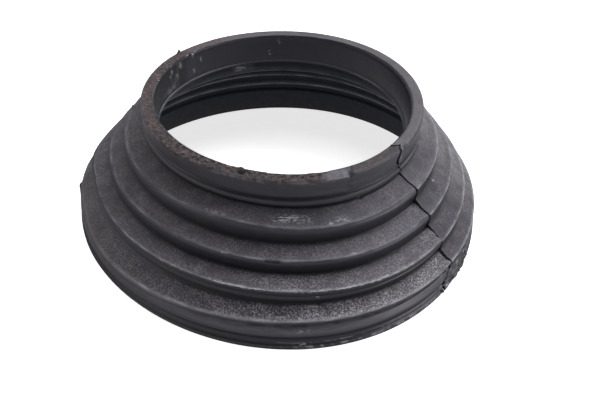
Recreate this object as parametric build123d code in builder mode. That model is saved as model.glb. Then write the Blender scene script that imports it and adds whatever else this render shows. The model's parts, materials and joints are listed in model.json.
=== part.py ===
"""Rubber bellows boot: a short conical gaiter, moulded in one piece.

Millimetres, +Z up. The origin is the centre of the large end's flat face, so the boot
stands on the XY plane and its axis is Z.

The outside was formed by two mould halves that did not quite meet: one half sits a little
higher and further out, which leaves a step on both sides of the boot. The inside was formed
by one core, so it is true all the way round.
"""

import os
from math import cos, radians, sin

from build123d import *

# ---- Driving dimensions ---------------------------------------------------------------

# Whole boot
boot_height = 38.6
base_radius = 60.0            # lip that the boot stands on

# Small end: the cuff that a band clamp closes on
cuff_bore_radius = 35.8
cuff_wall = 3.6
cuff_height = 5.4             # smooth clamp seat, from the rim down to the first groove
cuff_rim_rounding = 0.8
bore_length = 8.0             # straight part of the bore, below its chamfer
bore_chamfer = 0.5
bore_bead_height = 1.0        # small bead that closes the lower end of the bore
bore_bead_depth = 0.5

# Grooves and bead between the cuff and the first flank
neck_groove_depth = 0.7
neck_groove_height = 1.0
neck_bead_height = 1.1
neck_rounding = 0.25

# Bellows: sloping flanks that end in rounded crests, with an undercut crease below each
fold_count = 3
first_flank_reach = 5.9       # first crest, out from the cuff
first_flank_drop = 2.0        # first crest, down from the neck
crest_rounding = 1.2
crease_drop = 4.3             # from a crest down to the crease below it
crease_undercut = 1.3         # how far a crease lies inside its crest
crease_rounding = 0.5
bellows_wall = 2.9

# Large end: last flank's edge, clamp band and lip
band_inset = 0.3              # band, in from the lip
band_foot_depth = 0.5         # foot of the band, in from its widest part
band_foot_rise = 0.3
band_rounding = 1.2
band_groove_depth = 0.7       # groove between the last flank's edge and the band
band_groove_height = 0.8
last_edge_inset = 0.8         # last flank's edge, in from the band
last_edge_height = 7.9
last_edge_rounding = 0.4
lip_height = 1.2
lip_groove_height = 0.5
lip_ridge_height = 0.6
lip_rounding = 0.2
lip_groove_rounding = 0.1
base_wall = 7.0               # solid ring round the large end's bore
base_bore_length = 7.2
base_hollow_depth = 1.5       # recess between the last inner ridge and the base ring
base_hollow_height = 1.5

# Mould halves
seam_angle = -36.0            # direction of the joint between the halves, from +X
half_lift = 0.8               # the raised half sits this much higher
half_spread = 0.3             # and this much further out

# ---- Values that follow from them -----------------------------------------------------

cuff_radius = cuff_bore_radius + cuff_wall
neck_groove_radius = cuff_radius - neck_groove_depth
seat_foot = boot_height - cuff_height
bead_top = seat_foot - neck_groove_height
bead_foot = bead_top - neck_bead_height
first_flank_top = bead_foot - neck_groove_height
bore_foot = boot_height - bore_chamfer - bore_length
lip_groove_top = lip_height + lip_groove_height
lip_ridge_top = lip_groove_top + lip_ridge_height
band_foot = lip_ridge_top + band_foot_rise
last_edge_foot = last_edge_height - band_groove_height
band_top = last_edge_foot - band_groove_height
band_radius = base_radius - band_inset
band_foot_radius = band_radius - band_foot_depth
last_edge_radius = band_radius - last_edge_inset
base_bore_radius = base_radius - base_wall

# The crests lie on one cone, from the first flank's reach to the band's radius.
first_crest_radius = cuff_radius + first_flank_reach
first_crest_height = first_flank_top - first_flank_drop
crest_step_out = (band_radius - first_crest_radius) / fold_count
crest_step_down = (first_crest_height - last_edge_height) / fold_count

cut_margin = 1.0              # the core runs past both ends of the boot


def crest(fold):
    """Radius and height of a crest's corner, before rounding."""
    radius = first_crest_radius + fold * crest_step_out
    height = first_crest_height - fold * crest_step_down
    return radius, height


def crease(fold):
    """Radius and height of the crease below a crest."""
    radius, height = crest(fold)
    return radius - crease_undercut, height - crease_drop


def outer_corners(lift, spread):
    """Corners of the outside as (radius, height, rounding), from the rim to the floor."""
    corners = [
        (cuff_radius + spread, boot_height, cuff_rim_rounding),
        (cuff_radius + spread, seat_foot + lift, neck_rounding),
        (neck_groove_radius + spread, seat_foot - neck_groove_height / 2 + lift, neck_rounding),
        (cuff_radius + spread, bead_top + lift, neck_rounding),
        (cuff_radius + spread, bead_foot + lift, neck_rounding),
        (neck_groove_radius + spread, first_flank_top + lift, neck_rounding),
    ]
    for fold in range(fold_count):
        crest_radius, crest_height = crest(fold)
        crease_radius, crease_height = crease(fold)
        corners.append((crest_radius + spread, crest_height + lift, crest_rounding))
        corners.append((crease_radius + spread, crease_height + lift, crease_rounding))
    band_groove_radius = last_edge_radius - band_groove_depth
    corners += [
        (last_edge_radius + spread, last_edge_height + lift, last_edge_rounding),
        (band_groove_radius + spread, last_edge_foot + lift, lip_rounding),
        (band_radius, band_top, band_rounding),
        (band_foot_radius, band_foot, lip_groove_rounding),
        (band_radius, lip_ridge_top, lip_rounding),
        (band_radius, lip_groove_top, lip_rounding),
        (band_foot_radius, (lip_groove_top + lip_height) / 2, lip_groove_rounding),
        (base_radius, lip_height, lip_rounding),
        (base_radius, 0, 0),
    ]
    return corners


def core_corners():
    """Corners of the hollow as (radius, height, rounding), from the floor to the rim."""
    ridge_radius, ridge_height = crease(fold_count - 1)
    hollow_radius = base_bore_radius + base_hollow_depth
    corners = [
        (base_bore_radius, -cut_margin, 0),
        (base_bore_radius, base_bore_length, crease_rounding),
        (hollow_radius, base_bore_length + base_hollow_height, crease_rounding),
    ]
    for fold in reversed(range(fold_count)):
        crest_radius, crest_height = crest(fold)
        crease_radius, crease_height = crease(fold)
        corners.append((crease_radius - bellows_wall, crease_height, crease_rounding))
        corners.append((crest_radius - bellows_wall, crest_height - bellows_wall / 2, crest_rounding))
    bead_radius = cuff_bore_radius - bore_bead_depth
    corners += [
        (cuff_bore_radius, bore_foot - bore_bead_height, 0),
        (bead_radius, bore_foot - bore_bead_height / 2, 0),
        (cuff_bore_radius, bore_foot, 0),
        (cuff_bore_radius, boot_height - bore_chamfer, 0),
        (cuff_bore_radius + bore_chamfer + cut_margin, boot_height + cut_margin, 0),
    ]
    return corners


def section_plane(angle):
    """Upright plane through the axis: its X runs outwards at this angle, its Y is up."""
    outwards = (cos(radians(angle)), sin(radians(angle)), 0)
    normal = (sin(radians(angle)), -cos(radians(angle)), 0)
    return Plane(origin=(0, 0, 0), x_dir=outwards, z_dir=normal)


def closed_outline(corners, top, bottom):
    """Draw a section from the axis out along the corners and back to the axis."""
    points = [(0, top)] + [(radius, height) for radius, height, _ in corners] + [(0, bottom)]
    roundings = [0] + [rounding for _, _, rounding in corners] + [0]
    FilletPolyline(*points, radius=roundings, close=True)


# ---- Bellows boot ---------------------------------------------------------------------

mould_halves = (
    (seam_angle + 180, 0, 0),
    (seam_angle, half_lift, half_spread),
)

with BuildPart() as bellows_boot:
    # Outside: each mould half gives half a turn of its own section.
    for start_angle, lift, spread in mould_halves:
        with BuildSketch(section_plane(start_angle)):
            with BuildLine():
                closed_outline(outer_corners(lift, spread), boot_height, 0)
            make_face()
        revolve(axis=Axis.Z, revolution_arc=180)

    # Inside: one core gives a full turn.
    with BuildSketch(section_plane(seam_angle)):
        with BuildLine():
            closed_outline(core_corners(), -cut_margin, boot_height + cut_margin)
        make_face()
    revolve(axis=Axis.Z, mode=Mode.SUBTRACT)

bellows_boot.part.label = "bellows_boot"

os.makedirs("parts", exist_ok=True)
export_step(bellows_boot.part, "parts/bellows_boot.step")

size = bellows_boot.part.bounding_box().size
print(f"bellows boot: {size.X:.1f} x {size.Y:.1f} x {size.Z:.1f} mm")
print(f"rubber: {bellows_boot.part.volume / 1000:.1f} cm3")
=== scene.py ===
# %% [markdown]
# # A rubber bellows boot
#
# A bellows boot keeps grease in and dirt out where a shaft or a linkage moves. This one is
# a single moulding: a cuff at the small end that a band clamp closes on, three stepped folds
# that let it flex, and a stiff band at the large end.
#
# The frame brings the engineering model of the boot. It has the right sizes, but its surface
# is perfectly clean. Here the same rubber is built again as one fine mesh, so that the joint
# of the mould, the torn rim and the dusty grain can be real shape and not only colour.

# %% Load the frame
import json
from functools import reduce
from itertools import product
from math import cos, pi, radians, sin

import bpy
import numpy as np
from mathutils import Matrix, Vector


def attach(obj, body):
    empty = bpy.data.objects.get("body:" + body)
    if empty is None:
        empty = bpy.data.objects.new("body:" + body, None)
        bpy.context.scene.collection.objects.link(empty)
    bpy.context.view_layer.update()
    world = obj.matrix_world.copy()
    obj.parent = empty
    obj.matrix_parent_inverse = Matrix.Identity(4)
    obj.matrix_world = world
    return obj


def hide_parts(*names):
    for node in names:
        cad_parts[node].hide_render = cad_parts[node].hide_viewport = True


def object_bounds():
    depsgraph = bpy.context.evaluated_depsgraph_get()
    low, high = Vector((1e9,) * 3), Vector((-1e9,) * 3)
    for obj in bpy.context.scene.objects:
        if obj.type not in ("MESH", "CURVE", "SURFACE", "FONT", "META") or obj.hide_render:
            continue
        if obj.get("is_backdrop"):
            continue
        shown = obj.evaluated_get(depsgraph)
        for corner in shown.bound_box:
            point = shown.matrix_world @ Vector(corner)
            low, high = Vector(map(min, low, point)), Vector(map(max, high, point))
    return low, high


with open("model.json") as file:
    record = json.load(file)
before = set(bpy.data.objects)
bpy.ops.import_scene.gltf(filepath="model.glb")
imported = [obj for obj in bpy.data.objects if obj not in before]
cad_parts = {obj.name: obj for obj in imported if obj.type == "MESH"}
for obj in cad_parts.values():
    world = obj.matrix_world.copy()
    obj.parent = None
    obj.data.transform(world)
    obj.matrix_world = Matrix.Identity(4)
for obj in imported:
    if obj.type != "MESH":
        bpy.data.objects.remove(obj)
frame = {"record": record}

cad_low, cad_high = (tuple(corner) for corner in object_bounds())
print("frame box, metres:", cad_low, cad_high)

# %% [markdown]
# ## Sizes
#
# The overall sizes come from the frame, so the mesh follows it if the boot is made larger.
# The sizes of the section are written in millimetres, as a toolmaker would give them, and
# turned into metres once, when the mesh is made.

# %% Main sizes
MM = 0.001
boot_height = cad_high[2] / MM
base_radius = cad_high[0] / MM

bores = {mount["name"]: mount for mount in frame["record"]["mounts"]}
cuff_bore_radius = bores["cuff_bore"]["dims"]["r_mm"]
base_bore_radius = bores["base_bore"]["dims"]["r_mm"]
print(f"boot {2 * base_radius:.1f} mm across and {boot_height:.1f} mm high")
print(f"bores {2 * cuff_bore_radius:.1f} and {2 * base_bore_radius:.1f} mm across")

# %% [markdown]
# ## The section
#
# The boot is round, so its shape is one outline turned about an axis. An outline is written
# as its corners: a name for the run that starts there, a radius, a height, and how much the
# corner is rounded. Each fold is a tread, which slopes down and flattens towards its crest,
# and an underside that goes back in to the crease of the next fold.
#
# The two mould halves were not cut alike. The near half has full, rounded crests over deep
# creases. The far half has sharper crests and shallower creases. So the outline is a
# function of the half, and the joint between the halves shows as a step.

# %% The two mould halves
cuff_wall, cuff_height = 3.6, 5.4
cuff_radius = cuff_bore_radius + cuff_wall
first_crest = (cuff_radius + 6.0, boot_height - 10.85)
crest_step_out, crest_step_down = 4.75, 6.3
crest_fullness = 0.3
last_edge = (base_radius - 1.5, 8.3)

# The first four hold one value for each crest: how far it is lifted, its rounding, and how
# far the crease below it lies inside it and below it.
near_half = dict(
    lift=(-0.5, -0.5, -0.2),
    rounding=(2.3, 2.1, 0.5),
    undercut=(0.7, 0.7, 1.0),
    drop=(4.3, 4.2, 4.2),
    ring_depth=0.6,
    neck_lift=0.0,
    groove_depth=0.7,
)
far_half = dict(
    lift=(-0.5, -0.5, -0.7),
    rounding=(0.35, 0.35, 0.35),
    undercut=(0.25, 0.25, 0.25),
    drop=(3.3, 3.3, 3.3),
    ring_depth=0.0,
    neck_lift=0.4,
    groove_depth=1.0,
)
print(f"first crest: radius {first_crest[0]:.1f} mm, height {first_crest[1]:.1f} mm")

# %% [markdown]
# A tread isn't straight. It falls steeply from its crease and flattens towards its crest, so
# it gets one more corner on the way, the brow, a little below the straight line.

# %% A point on the way to a crest
def point_between(start, end, share, rise):
    """The point a share of the way along a line, moved up by a rise."""
    x, z = (a + share * (b - a) for a, b in zip(start, end))
    return x, z + rise


half_way = point_between((cuff_radius, boot_height), first_crest, 0.5, 0.0)
print(f"half way from the rim to the first crest: height {half_way[1]:.1f} mm")

# %% [markdown]
# Now the corners can be listed in order, from the rim's inner edge, over the cuff and the
# folds, to the floor. Each fold starts from the crease that the one above it ended in.

# %% Corners of the outside
def outside(half):
    """Corners from the rim's inner edge, over the cuff and the folds, to the floor."""
    seat_foot = boot_height - cuff_height + half["neck_lift"]
    corners = [
        ("rim", cuff_bore_radius + 0.5, boot_height, 0.1),
        ("cuff", cuff_radius, boot_height, 0.7),
        ("neck", cuff_radius, seat_foot, 0.3),
        ("neck", cuff_radius - half["groove_depth"], seat_foot - 0.6, 0.3),
        ("neck", cuff_radius + 0.2, seat_foot - 1.2, 0.3),
        ("neck", cuff_radius + 0.4, seat_foot - 2.4, 0.3),
    ]
    crease = (cuff_radius - 0.4, seat_foot - 3.2)
    folds = zip(half["lift"], half["rounding"], half["undercut"], half["drop"])
    for fold, (lift, rounding, undercut, drop) in enumerate(folds):
        crest_radius = first_crest[0] + fold * crest_step_out + crest_fullness
        crest_height = first_crest[1] - fold * crest_step_down + lift
        brow = point_between(crease, (crest_radius, crest_height), 0.6, -0.25)
        corners.append(("tread", *crease, 0.04))
        corners.append(("brow", *brow, 1.5))
        corners.append(("underside", crest_radius, crest_height, rounding))
        crease = (crest_radius - undercut, crest_height - drop)
    corners += [
        ("ring", crest_radius - 0.15, crest_height - 1.3, 0.2),
        ("ring", crest_radius - 0.3 - half["ring_depth"], crest_height - 1.7, 0.2),
        ("ring", crest_radius - 0.35, crest_height - 2.2, 0.3),
        ("tread", *crease, 0.04),
        ("brow", *point_between(crease, last_edge, 0.6, -0.1), 0.8),
        ("edge", *last_edge, 0.4),
        ("band", last_edge[0] - 0.6, 6.9, 0.2),
        ("band", base_radius - 1.2, 6.5, 0.5),
        ("band", base_radius - 0.1, 4.7, 1.2),
        ("lip", base_radius - 0.7, 2.8, 0.2),
        ("lip", base_radius - 0.3, 2.4, 0.2),
        ("lip", base_radius - 0.3, 1.9, 0.2),
        ("lip", base_radius - 0.6, 1.6, 0.2),
        ("lip", base_radius, 1.2, 0.2),
    ]
    return corners


print("corners on the outside:", len(outside(near_half)))

# %% [markdown]
# The inside was formed by one core, so it is the same all the way round. It follows the folds
# of the outside at the thickness of the wall, with a ridge under each crease. A straight bore
# leads up to the rim, over a small bead.

# %% Corners of the inside
fold_wall = 2.9
bore_length = 8.7
bore_edge_bevel = 0.5
ridge_drops = (6.2, 4.5, 4.3)


def inside():
    """Corners from the floor up to the rim."""
    corners = [
        ("base", base_radius, 0.0, 0.1),
        ("base bore", base_bore_radius, 0.0, 0.2),
        ("hollow", base_bore_radius - 0.6, 7.2, 0.5),
        ("hollow", base_bore_radius + 0.3, 8.2, 0.5),
    ]
    for fold, ridge_drop in reversed(tuple(enumerate(ridge_drops))):
        crest_radius = first_crest[0] + fold * crest_step_out
        crest_height = first_crest[1] - fold * crest_step_down
        ridge_radius = crest_radius - 1.3 - fold_wall
        corners.append(("ridge", ridge_radius, crest_height - ridge_drop, 0.4))
        corners.append(("hollow", crest_radius - fold_wall, crest_height - fold_wall / 2, 1.2))
    bore_foot = boot_height - bore_edge_bevel - bore_length
    corners += [
        ("bore bead", cuff_bore_radius, bore_foot - 1.0, 0.2),
        ("bore bead", cuff_bore_radius - 0.5, bore_foot - 0.5, 0.2),
        ("bore", cuff_bore_radius, bore_foot, 0.2),
        ("bore edge", cuff_bore_radius, boot_height - bore_edge_bevel, 0.1),
    ]
    return corners


print("corners on the inside:", len(inside()))

# %% [markdown]
# A rounded corner is drawn as a short curve: it leaves one run, bends towards the corner and
# joins the next run. Every outline gets the same number of points on each run and each
# corner, so a point of one half has its partner on the other half, and the two can be
# joined by one even grid of faces. Runs that carry fine detail get more points.

# %% How many points on each run
run_steps = {
    "rim": 9, "cuff": 8, "neck": 1, "tread": 6, "brow": 3, "underside": 4, "ring": 1,
    "edge": 2, "band": 2, "lip": 1, "base": 4, "base bore": 3, "hollow": 2, "ridge": 2,
    "bore bead": 1, "bore": 6, "bore edge": 1,
}
usual_bend_steps = 2
bend_steps = {
    "underside": 5, "cuff": 3, "rim": 1, "tread": 1, "ring": 1, "lip": 1, "base": 1,
    "bore bead": 1, "bore edge": 1,
}
print("runs with a number of their own:", len(run_steps), "and bends:", len(bend_steps))

# %% [markdown]
# A bend starts where an arc of its radius would touch the run. On a short run there may be
# no room for that, so a bend takes less than half of the run, and two bends never overlap.

# %% Where a bend starts and ends
longest_bend = 0.45  # of the run beside it


def bend(here, before, after, rounding):
    """Where the curve at a corner starts, what it bends towards, and where it ends."""
    back, ahead = before - here, after - here
    back_length, ahead_length = np.hypot(*back), np.hypot(*ahead)
    back, ahead = back / back_length, ahead / ahead_length
    half_angle = np.arccos(np.clip(back @ ahead, -1, 1)) / 2
    reach = rounding / np.tan(half_angle)
    reach = min(reach, longest_bend * back_length, longest_bend * ahead_length)
    return here + back * reach, here, here + ahead * reach


square = bend(np.zeros(2), np.array([4.0, 0.0]), np.array([0.0, 4.0]), 1.0)
print("a bend of radius 1 at a square corner starts at", square[0], "and ends at", square[2])

# %% [markdown]
# Tracing the outline goes from corner to corner: the points of the bend, then the points of
# the run up to the next bend. The name of the run is kept for each point, because most of
# the shapes and finishes below belong to some runs only.

# %% Points along an outline
def trace(corners):
    """Points (radius, height) round a closed outline, and the run that each is on."""
    places = np.array([corner[1:3] for corner in corners])
    befores, afters = np.roll(places, 1, 0), np.roll(places, -1, 0)
    roundings = [corner[3] for corner in corners]
    bends = [bend(*corner) for corner in zip(places, befores, afters, roundings)]

    points, runs = [], []
    for (name, *_), curve, (goal, *_) in zip(corners, bends, bends[1:] + bends[:1]):
        start, middle, end = curve
        steps = bend_steps.get(name, usual_bend_steps)
        for t in np.arange(1, steps) / steps:
            points.append((1 - t) ** 2 * start + 2 * t * (1 - t) * middle + t**2 * end)
        points += list(end + (goal - end) * np.linspace(0, 1, run_steps[name] + 1)[:, None])
        runs += [name] * (steps + run_steps[name])
    return np.array(points), np.array(runs)


near_section, runs = trace(outside(near_half) + inside())
far_section, _ = trace(outside(far_half) + inside())
print("points round the section:", len(runs))

# %% [markdown]
# ## Columns
#
# The section is repeated at many bearings round the boot. A bearing is in degrees from the
# front, and grows towards the right. Columns stand close together at the two places where
# the mould halves met, because the step there is sharp, and further apart elsewhere. The
# near side gets more of them than the far side.

# %% Bearings of the columns
joint_bearings = (-126.0, 54.0)
finest, near_spacing, far_spacing = 0.10, 0.64, 0.92
spacing_growth = 0.2


def column_spacing(bearing):
    """Degrees to the next column."""
    to_joint = min(abs((bearing - joint + 180) % 360 - 180) for joint in joint_bearings)
    usual = near_spacing if bearing < joint_bearings[1] else far_spacing
    return min(usual, finest + spacing_growth * to_joint)


bearings = [joint_bearings[0]]
while bearings[-1] < joint_bearings[0] + 360 - finest:
    bearings.append(bearings[-1] + column_spacing(bearings[-1] + finest / 2))
bearings = np.array(bearings[:-1])
print("columns:", len(bearings), "triangles:", 2 * len(bearings) * len(runs))

# %% [markdown]
# ## From section to surface
#
# Every point of the grid now has a radius, a height and a bearing. Working on the whole grid
# at once with numpy is quick, and it keeps the rows and columns, so a shape can be changed by
# bearing or by height.

# %% Grid of points
near_side = bearings[None, :] < joint_bearings[1]
far_side = ~near_side
section = np.where(near_side[..., None], near_section[:, None, :], far_section[:, None, :])
radius, height = section[..., 0].copy(), section[..., 1].copy()
bearing = np.repeat(bearings[None, :], len(runs), axis=0)
print("grid, rows and columns:", radius.shape)

# %% [markdown]
# Fine shapes are made by adding or taking away rubber square to the surface. That direction
# is found from the neighbouring points of the section: it is their step, turned a quarter
# round. The amount is gathered in one grid, the swell, and is laid on at the very end.

# %% Direction square to the surface
step_out, step_up = (
    np.roll(value, -1, 0) - np.roll(value, 1, 0) for value in (radius, height)
)
step_length = np.hypot(step_out, step_up)
outwards, upwards = -step_up / step_length, step_out / step_length
swell = np.zeros_like(radius)
print(f"points of the section stand {step_length.mean() / 2:.2f} mm apart on average")

# %% [markdown]
# Most shapes and finishes below belong to some runs of the section and fade out round the
# boot. Three small helpers say where: on a run, so many degrees from a bearing, and a smooth
# bump that is 1 in the middle and fades to nothing.

# %% Helpers that say where
def on_run(*names):
    """1 on the rows of these runs and 0 on the others."""
    return np.isin(runs, names).astype(float)[:, None]


def degrees_from(place):
    """Signed degrees from a bearing, between -180 and 180."""
    return (bearing - place + 180) % 360 - 180


def bump(distance, width):
    """1 at no distance, falling smoothly to nothing beyond about twice the width."""
    return np.exp(-((distance / width) ** 2))


outside_names = ("cuff", "neck", "tread", "brow", "underside", "ring", "edge", "band", "lip")
outside_runs = on_run(*outside_names)
print("rows on the outside:", int(outside_runs.sum()), "of", len(runs))

# %% [markdown]
# ## Out of round
#
# A soft ring never stays a true circle. The boot is squeezed into gentle waves, a different
# set at the floor, half way up and at the rim, and the shape slides from one to the next.
# Each wave is written as how many there are round the boot, how far the rubber moves, in
# millimetres, and the bearing of one of them. A count of one is a shift to one side.

# %% Gentle waves round the boot
floor_waves = ((1, 0.5, -90), (2, 0.45, -25), (3, 0.9, 16))
middle_waves = ((1, 1.6, -148), (2, 1.0, 5), (3, 0.5, 31))
rim_waves = ((1, 0.55, -89), (2, 0.8, -78), (3, 0.45, 20))


def waves(level):
    """How far the rubber moves outwards, in millimetres."""
    return sum(size * np.cos(count * np.radians(bearing - start)) for count, size, start in level)


share = height / boot_height
out_of_round = (1 - share) ** 2 * waves(floor_waves) + share**2 * waves(rim_waves)
out_of_round += 2 * share * (1 - share) * waves(middle_waves)
print(f"waves: {out_of_round.min():.2f} to {out_of_round.max():.2f} mm")

# %% [markdown]
# The folds were also pulled out of line more locally, where hands or other parts pressed on
# them. Each bulge has a middle, a width round the boot and a height, and moves the rubber
# outwards and upwards.

# %% Bulges
bulges = (
    # bearing and half width in degrees, level and half height, outwards and upwards in mm
    (78, 42, 19.5, 3.5, 0.6, 0.0),
    (78, 42, 13.2, 3.0, 0.7, -0.7),
    (74, 45, 8.0, 1.6, 1.15, 0.0),
    (122, 22, 24.0, 6.0, -0.6, 0.0),
    (-90, 8, 13.5, 4.5, 1.1, 0.0),
    (-108, 10, 13.5, 4.5, -0.4, 0.0),
    (-90, 10, 8.0, 2.0, 0.8, 0.0),
    (-99, 11, 9.0, 6.0, 1.0, 0.3),
    (15, 25, 8.3, 1.0, 0.0, 0.4),
    (30, 24, 17.0, 11.0, 0.15, -0.35),
    (0, 40, 15.0, 2.0, 0.0, 0.5),
    (-18, 20, 27.5, 2.5, 0.0, 0.7),
)
for place, half_width, level, half_height, out, up in bulges:
    bulge = bump(degrees_from(place), half_width) * bump(height - level, half_height)
    out_of_round += out * bulge * outside_runs
    height += up * bulge * outside_runs
radius += out_of_round
print(f"out of round: {out_of_round.min():.2f} to {out_of_round.max():.2f} mm")

# %% [markdown]
# On the left the last edge was pushed down over the band. The drop is shared out: all of it
# at the edge, less of it towards the crease above and towards the floor below. The rubber
# that is pushed down also spreads, and the lip under it is squeezed in.

# %% Edge pushed down
def first_rows(name):
    """Row numbers at which a run of this name starts."""
    return np.flatnonzero((runs == name) & (np.roll(runs, 1) != name))


row_number = np.arange(len(runs))
last_tread_row, last_edge_row = first_rows("tread")[-1], first_rows("edge")[0]
on_last_tread = ((row_number >= last_tread_row) & (row_number < last_edge_row))[:, None]
tread_top, tread_foot = height[last_tread_row], height[last_edge_row]
down_the_tread = np.clip((tread_top - height) / (tread_top - tread_foot), 0, 1)
share_of_drop = on_run("edge", "band", "lip") * height / tread_foot
share_of_drop = np.where(on_last_tread, down_the_tread**1.3, share_of_drop)

edge_drop, edge_spread, lip_squeeze = 3.8, 1.4, 0.8
pushed_down = np.clip(share_of_drop, 0, 1) * bump(degrees_from(-60), 36)
height -= edge_drop * pushed_down
radius += edge_spread * pushed_down
squeezed_in = lip_squeeze * bump(degrees_from(-66), 48) * bump(height - 2.2, 1.2)
radius -= squeezed_in * on_run("band", "lip")
print(f"edge pushed down by up to {edge_drop * pushed_down.max():.1f} mm")

# %% [markdown]
# The same edge has been rubbed against the ground, until the groove below it was gone. Moving
# each point of the section a little towards the middle of its neighbours, many times over,
# wears a corner round in the same way. The last crest was worn with it, but less.

# %% Edge worn round
def rows_near(rows, width):
    """1 on the given rows, fading out over a number of rows."""
    gaps = np.abs(row_number[:, None] - np.atleast_1d(rows)[None, :])
    return bump(gaps.min(axis=1)[:, None], width)


crests = first_rows("underside")
worn_edge = bump(degrees_from(-78), 52) * rows_near(last_edge_row, 7)
worn_crest = 0.7 * bump(degrees_from(-105), 35) * rows_near(crests[-1], 5)
worn_round = np.maximum(worn_edge, worn_crest)

strokes, bite = 40, 0.8
unworn = radius.copy()
for _ in range(strokes):
    for value in (radius, height):
        middle = (np.roll(value, 1, 0) + np.roll(value, -1, 0)) / 2
        value += bite * worn_round * (middle - value)
print(f"worn away: up to {(unworn - radius).max():.2f} mm")

# %% [markdown]
# The cuff has been pulled about more than the rest. On the left its upper edge flares out,
# as if a clamp had been dragged off it. The inner edge of the rim stays in place, so the
# flare is given a weight that grows across the rim.

# %% Flared cuff
rim_rows = np.flatnonzero(runs == "rim")
across_rim = np.zeros(len(runs))
across_rim[rim_rows] = np.linspace(0, 1, len(rim_rows))
across_rim[runs == "cuff"] = 1
across_rim = across_rim[:, None]
up_the_cuff = np.clip((height - (boot_height - cuff_height)) / cuff_height, 0, 1)

left_flare, right_flare = 1.2, 0.2
radius += left_flare * bump(degrees_from(-52), 22) * across_rim * up_the_cuff
radius += right_flare * bump(degrees_from(60), 16) * far_side * across_rim
print(f"rim's outer edge: radius {radius[runs == 'cuff'].max():.1f} mm at most")

# %% [markdown]
# ## Random relief
#
# Moulded rubber that has been handled and stored is never smooth. A lattice of random values
# gives each point in space a smooth random height, from -1 to 1. The values come from a
# formula with a seed, so the boot is the same each time that the script runs.

# %% Random heights in space
def xyz(radius, height, bearing):
    """Cylindrical to Cartesian, in millimetres. The front is towards -Y."""
    turn = np.radians(bearing)
    return np.stack([radius * np.sin(turn), -radius * np.cos(turn), height], axis=-1)


even = xyz(radius, height, bearing)
shuffle, magnify = (12.9898, 78.233, 37.719), 43758.5453


def relief(size, seed, points=even):
    """Smooth random values from -1 to 1 that change over about `size` millimetres."""
    lattice = np.floor(points / size)
    t = points / size - lattice
    t = t * t * (3 - 2 * t)
    total = np.zeros(points.shape[:-1])
    for corner in product((0, 1), repeat=3):
        mixed = np.sin((lattice + corner) @ shuffle + seed) * magnify
        weight = np.prod(np.where(corner, t, 1 - t), axis=-1)
        total += weight * (2 * (mixed - np.floor(mixed)) - 1)
    return total


print("points with a place in space:", even[..., 0].size)

# %% [markdown]
# The treads are the least even. They get relief of two sizes, and the whole outside gets
# wide, shallow hollows, which bend what it mirrors. The row in each crease stays true.

# %% Uneven treads
treads = on_run("tread", "brow")
treads[first_rows("tread")] = 0
swell += treads * (0.05 * relief(1.3, 1) + 0.05 * relief(3.1, 2))
swell += outside_runs * 0.06 * relief(9.0, 3)
print(f"relief: {swell.min():.2f} to {swell.max():.2f} mm")

# %% [markdown]
# ## The joint of the mould
#
# Where two halves of a mould meet, the rubber is left with a line. Here the halves were
# badly closed, so the line is a step. It wanders to and fro on its way down, so the columns
# beside it are moved sideways by an amount that depends on the height.

# %% How the joint wanders
joint_line = (
    # height in mm, degrees to the right
    (0.0, -1.8), (4.0, -1.8), (5.2, -1.4), (6.5, 1.3), (22.0, 0.6), (26.0, 1.0),
    (31.0, 1.1), (32.7, 0.1), (34.5, -1.8), (35.6, -2.2), (37.0, -0.8), (38.2, -0.3),
)
line = np.interp(height, *zip(*joint_line))
line_on_rim = np.interp(across_rim, (0, 0.7, 1), (-1.4, 2.0, -0.3))
line = np.where(on_run("rim") > 0, line_on_rim, line)
print(f"the joint wanders by {np.ptp(line):.1f} degrees")

# %% [markdown]
# The rubber of the near half pulled back into a narrow crack, and the far half kept a thin
# raised edge. In front, on the right, the crack gapes: it is wide and torn near the base and
# across the rim. The joint at the back closed better, and strays less.

# %% Step, crack and raised edge
low_down = np.clip((12.0 - height) / 6.0, 0, 1)
torn_edge = 0.5 + 0.5 * relief(0.8, 4)
joint_rows = on_run(*outside_names, "rim", "bore edge")
rim, cuff = on_run("rim"), on_run("cuff")

crack = np.zeros_like(radius)
for joint, drift, gaping in zip(joint_bearings, (0.3, 1.0), (0.0, 1.0)):
    away = degrees_from(joint)
    crack_width = 0.22 + gaping * (0.9 * low_down + 0.45 * on_run("rim", "cuff")) * torn_edge
    crack_depth = 0.25 * (1 - rim) + gaping * (0.6 * low_down + 0.6 * rim + 0.35 * cuff)
    swell += near_side * 0.3 * bump(away, 6.0) * on_run("tread") * bump(height - 17.0, 7.0)
    swell -= joint_rows * near_side * crack_depth * bump(away, crack_width)
    swell += joint_rows * far_side * 0.12 * (0.3 + torn_edge) * bump(away, 0.35)
    sideways = drift * line + 0.25 * relief(1.6, 5) + 0.10 * relief(0.7, 6)
    bearing += joint_rows * sideways * bump(away, 4.0)
    crack_mask = gaping * joint_rows * near_side * bump(away, 0.15 + crack_width)
    crack = np.maximum(crack, crack_mask)
print("points inside the crack:", int((crack > 0.5).sum()))

# %% [markdown]
# ## The torn rim
#
# The rim was trimmed by hand and then handled. From the left round to the front its face is
# rough and crumbling. The rest is nearly smooth.

# %% Crumbling face
def between(low, high, soft):
    """1 between two bearings, with soft ends."""
    middle, half_width = (low + high) / 2, (high - low) / 2
    return np.clip((half_width - np.abs(degrees_from(middle))) / soft + 0.5, 0, 1)


torn = between(-128, 17, 6)
crumble = 0.18 * relief(1.1, 9) + 0.15 * relief(0.6, 10)
swell += rim * torn * (crumble - 0.1)
swell += rim * (1 - torn) * 0.03 * relief(1.2, 11)
print(f"crumbs: {crumble.min():.2f} to {crumble.max():.2f} mm")

# %% [markdown]
# A short stretch to the right of the front was cut again, clean and at a slant, so its outer
# edge lies lower. The knife stopped in a cut that slants on down the cuff.

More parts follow.
